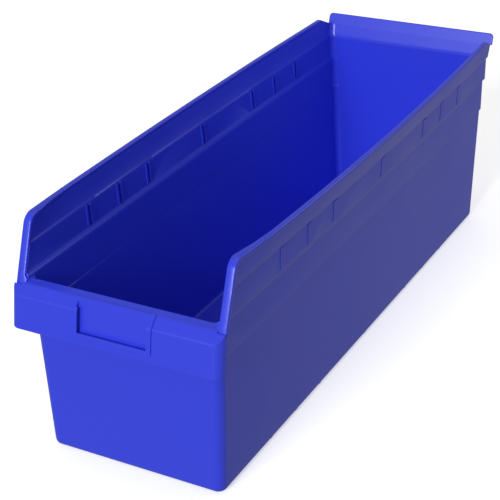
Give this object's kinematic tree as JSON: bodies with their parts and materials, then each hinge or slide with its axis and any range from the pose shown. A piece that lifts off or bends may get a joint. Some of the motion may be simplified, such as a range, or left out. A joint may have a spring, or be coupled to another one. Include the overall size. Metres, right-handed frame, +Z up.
{
  "type": "shelf bin",
  "caption": "Long open-top shelf bin with a low hopper front, a bent grip rail with a label holder, joggled side walls with divider slots, and a leaning rear flange.",
  "frame": {"origin": "on the surface the bin rests on, under the middle of the floor, on the middle cross rib", "axes": "+X to the right seen from the front, +Y from the front to the back, +Z up"},
  "size_m": [0.2061, 0.5994, 0.211],
  "materials": {
    "blue_polypropylene": "semi-gloss moulded"
  },
  "bodies": {
    "root": {"floor": "blue_polypropylene", "cross_rib_1": "blue_polypropylene", "cross_rib_2": "blue_polypropylene", "cross_rib_3": "blue_polypropylene", "cross_rib_4": "blue_polypropylene", "cross_rib_5": "blue_polypropylene", "cross_rib_6": "blue_polypropylene", "cross_rib_7": "blue_polypropylene", "left_wall": "blue_polypropylene", "right_wall": "blue_polypropylene", "front_wall": "blue_polypropylene", "back_wall": "blue_polypropylene", "rear_flange": "blue_polypropylene", "grip_rail": "blue_polypropylene", "label_holder": "blue_polypropylene", "left_rim": "blue_polypropylene", "right_rim": "blue_polypropylene"}
  },
  "joints": []
}
